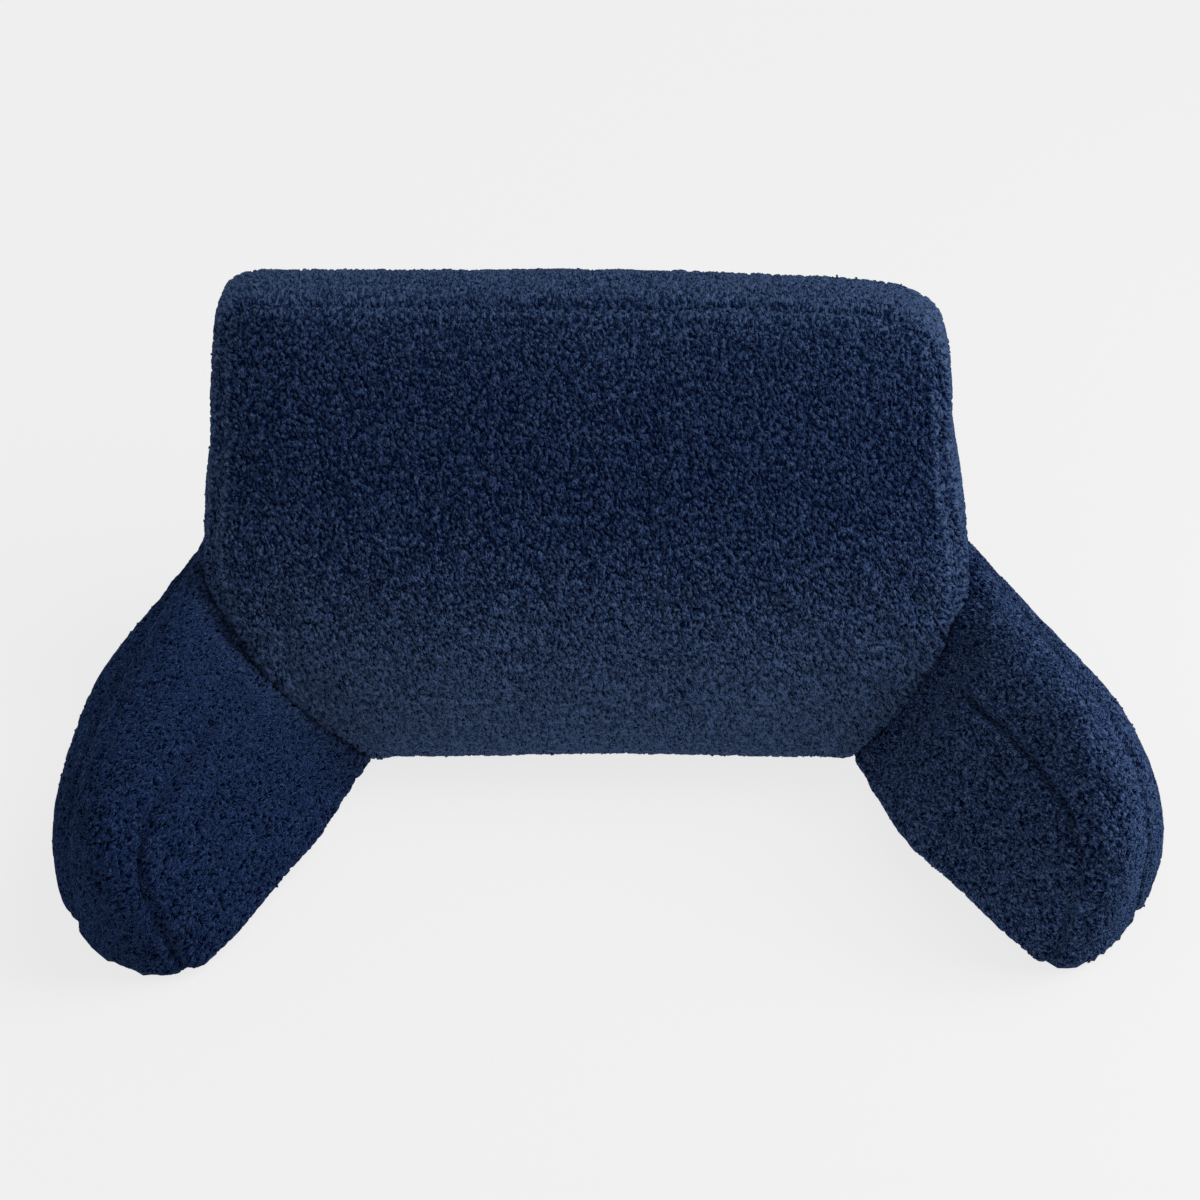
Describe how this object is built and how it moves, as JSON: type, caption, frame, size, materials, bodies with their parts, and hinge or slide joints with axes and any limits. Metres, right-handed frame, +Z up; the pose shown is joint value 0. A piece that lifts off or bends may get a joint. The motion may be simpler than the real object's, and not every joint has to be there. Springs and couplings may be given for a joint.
{
  "type": "cuddle cushion",
  "caption": "Cuddle cushion: a boxed fleece backrest with stuffed arms that splay forward, standing on its flat base to support a seated reader",
  "frame": {"origin": "on the floor, under the middle of the cushion's bounding box", "axes": "+X to the right as seen from the front, across the cushion; +Y back, away from the arms' tips; +Z up"},
  "size_m": [0.8214, 0.4784, 0.342],
  "materials": {
    "fleece": "navy teddy fleece with a curly pile"
  },
  "bodies": {
    "root": {"back": "fleece", "arm_left": "fleece", "arm_right": "fleece"}
  },
  "joints": []
}
